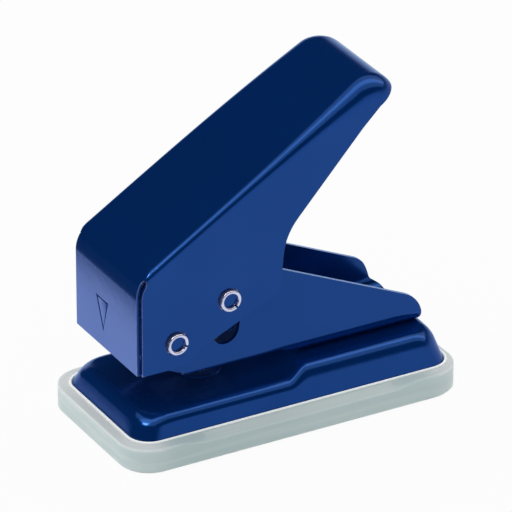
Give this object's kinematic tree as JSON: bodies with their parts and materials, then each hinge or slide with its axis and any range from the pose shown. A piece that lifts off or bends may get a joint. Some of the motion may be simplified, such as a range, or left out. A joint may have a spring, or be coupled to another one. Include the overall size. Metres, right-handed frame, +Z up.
{
  "type": "single-hole desk punch",
  "caption": "Lever-operated desk punch for one paper hole: pressed sheet-steel lever, bracket and base pan, sprung punch and die, and a pull-off plastic chip tray.",
  "frame": {"origin": "middle of the chip tray's underside, on the table", "axes": "+X along the length away from the paper mouth, +Z up"},
  "size_m": [0.105, 0.0528, 0.0991],
  "materials": {
    "tray_plastic": "frosted grey-green",
    "blue_paint": "gloss dark blue enamel",
    "bright_steel": "bright ground steel",
    "dark_steel": "plain steel"
  },
  "bodies": {
    "tray": {"chip_tray": "tray_plastic"},
    "frame": {"base_pan": "blue_paint", "die_button": "bright_steel", "bracket": "blue_paint", "bracket_rivets": "dark_steel", "guide_saddle": "dark_steel", "guide_bush": "bright_steel", "return_spring": "dark_steel"},
    "punch": {"punch": "bright_steel", "spring_washer": "dark_steel"},
    "lever": {"lever_shell": "blue_paint", "fulcrum_pin": "bright_steel", "drive_pin": "bright_steel", "fulcrum_spacer_left": "bright_steel", "fulcrum_spacer_right": "bright_steel", "drive_spacer_left": "bright_steel", "drive_spacer_right": "bright_steel"}
  },
  "joints": [
    {"name": "frame_lift", "type": "slide", "parent": "tray", "child": "frame", "axis": [0, 0, 1], "range_m": [0, 0.02]},
    {"name": "lever_press", "type": "hinge", "parent": "frame", "child": "lever", "pos_m": [-0.0352, 0, 0.0344], "axis": [0, 1, 0], "range_deg": [0, 30], "stiffness_Nm_per_rad": 0.4, "springref_deg": -22.92},
    {"name": "punch_slide", "type": "slide", "parent": "frame", "child": "punch", "axis": [0, 0, -1], "range_m": [0, 0.00944], "deforming": ["return_spring"]}
  ],
  "couplings": [
    {"joint": "punch_slide", "follows": "lever_press", "m_per_rad": 0.01801}
  ]
}
